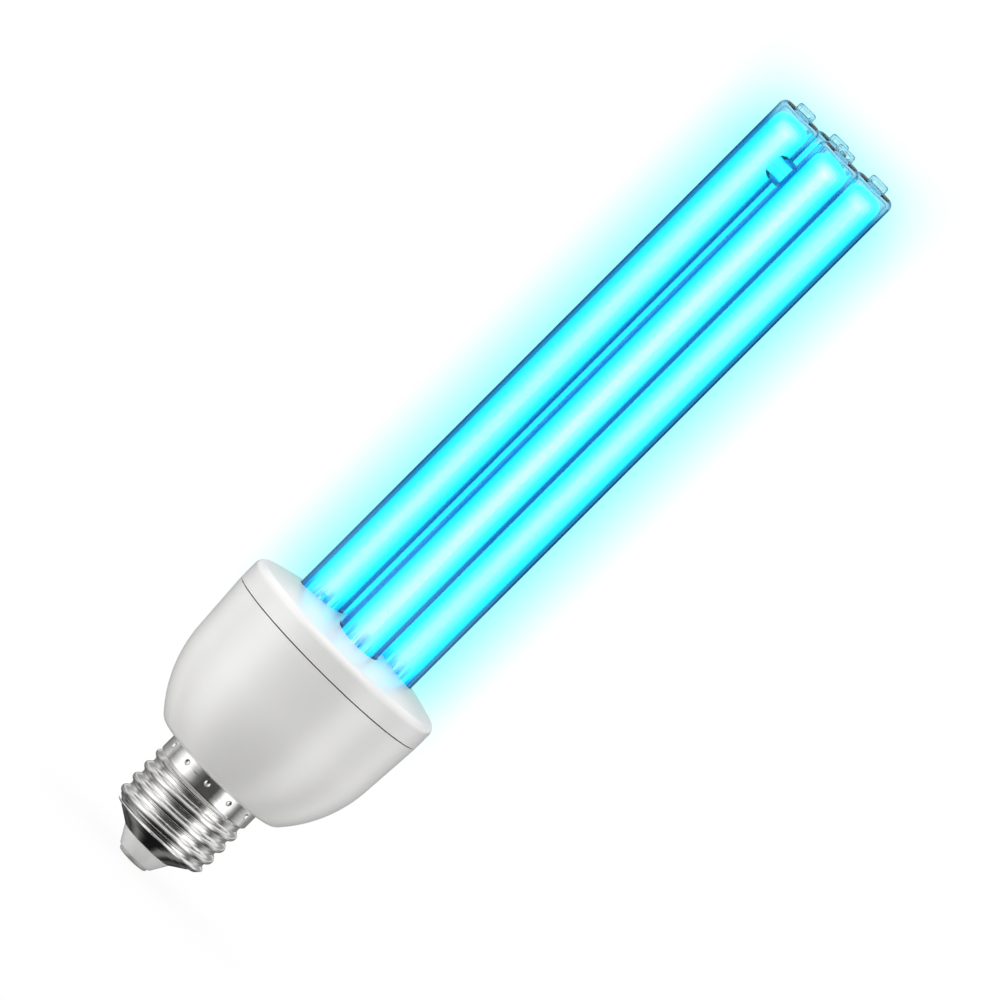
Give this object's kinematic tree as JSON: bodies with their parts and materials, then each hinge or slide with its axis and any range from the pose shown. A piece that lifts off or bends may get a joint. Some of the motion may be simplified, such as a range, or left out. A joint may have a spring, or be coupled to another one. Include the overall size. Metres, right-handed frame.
{
  "type": "germicidal uv lamp",
  "caption": "Compact germicidal lamp: straight quartz discharge legs in a domed cap, a bowl-shaped ballast housing and a screw base.",
  "frame": {"origin": "centre of the contact face at the bottom of the screw base, on the lamp's axis", "axes": "+Z along the lamp's axis from the base to the tube ends; +X through the right leg, -Y through the front leg"},
  "size_m": [0.054, 0.054, 0.2229],
  "materials": {
    "quartz_glass": "clear, lit",
    "housing_plastic": "satin gloss",
    "cap_plastic": "satin gloss",
    "shell_metal": "bright nickel",
    "insulator_plastic": "satin",
    "contact_brass": "bright",
    "solder": "bright",
    "cement": "matt",
    "tungsten": "drawn wire",
    "lead_wire": "tinned",
    "sleeve": "matt",
    "board": "satin laminate",
    "ferrite": "matt",
    "bobbin_plastic": "satin",
    "copper_winding": "enamelled",
    "can_sleeve": "shrink sleeve",
    "film_resin": "dipped resin",
    "disc_resin": "coated",
    "diode_resin": "moulded",
    "resistor_coat": "lacquered",
    "wire_insulation": "extruded"
  },
  "bodies": {
    "root": {"discharge_tube": "quartz_glass", "cathode_coils": "tungsten", "cathode_leads": "lead_wire", "lead_sleeves": "sleeve", "tube_cement": "cement", "tube_holder_cap": "cap_plastic", "lower_housing": "housing_plastic", "screw_shell": "shell_metal", "base_insulator": "insulator_plastic", "centre_contact": "contact_brass", "contact_solder": "solder", "circuit_board": "board", "choke_core": "ferrite", "choke_bobbin": "bobbin_plastic", "choke_winding": "copper_winding", "reservoir_capacitor": "can_sleeve", "resonant_capacitor": "film_resin", "blocking_capacitor": "film_resin", "drive_toroid": "ferrite", "toroid_windings": "copper_winding", "filter_inductor": "ferrite", "thermistor": "disc_resin", "rectifier_diodes": "diode_resin", "resistors": "resistor_coat", "diac": "resistor_coat", "fuse_resistor": "diode_resin", "switching_transistors": "diode_resin", "live_lead": "wire_insulation", "neutral_lead": "lead_wire"}
  },
  "joints": []
}
